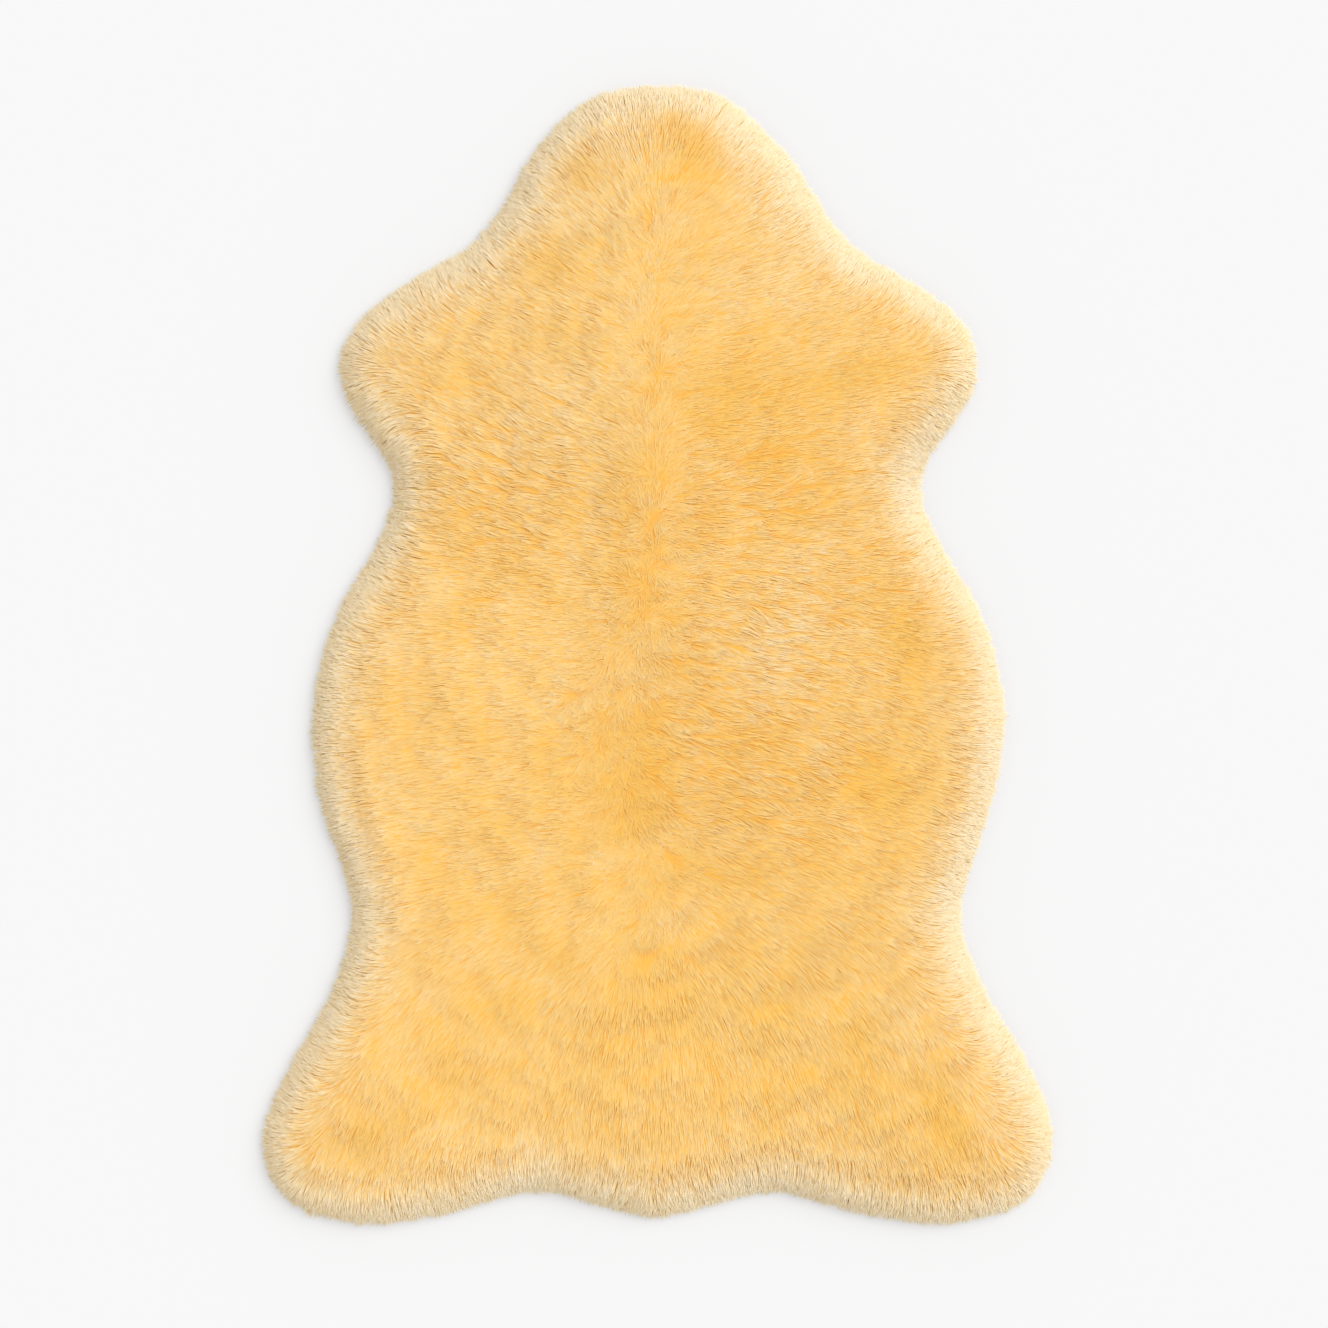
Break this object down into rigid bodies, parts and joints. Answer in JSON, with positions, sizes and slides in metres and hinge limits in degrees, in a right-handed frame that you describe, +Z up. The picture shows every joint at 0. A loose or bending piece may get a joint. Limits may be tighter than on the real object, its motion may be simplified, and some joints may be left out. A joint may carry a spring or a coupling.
{
  "type": "sheepskin rug",
  "caption": "Golden clipped lambskin rug in the natural outline of the pelt, with neck, shoulder lobes, hind legs and tail, laid flat with the wool side up.",
  "frame": {"origin": "middle of the rug on the floor, under the centre of its overall box", "axes": "+Y along the backbone to the neck, +X across to the right-hand side seen from above, +Z up out of the wool"},
  "size_m": [0.6244, 0.8996, 0.0373],
  "materials": {
    "wool": "dense clipped wool, golden honey with pale cream tips, matt with a soft sheen",
    "hide": "tanned suede, pale buff, matt"
  },
  "bodies": {
    "root": {"sheepskin": "wool"}
  },
  "joints": []
}
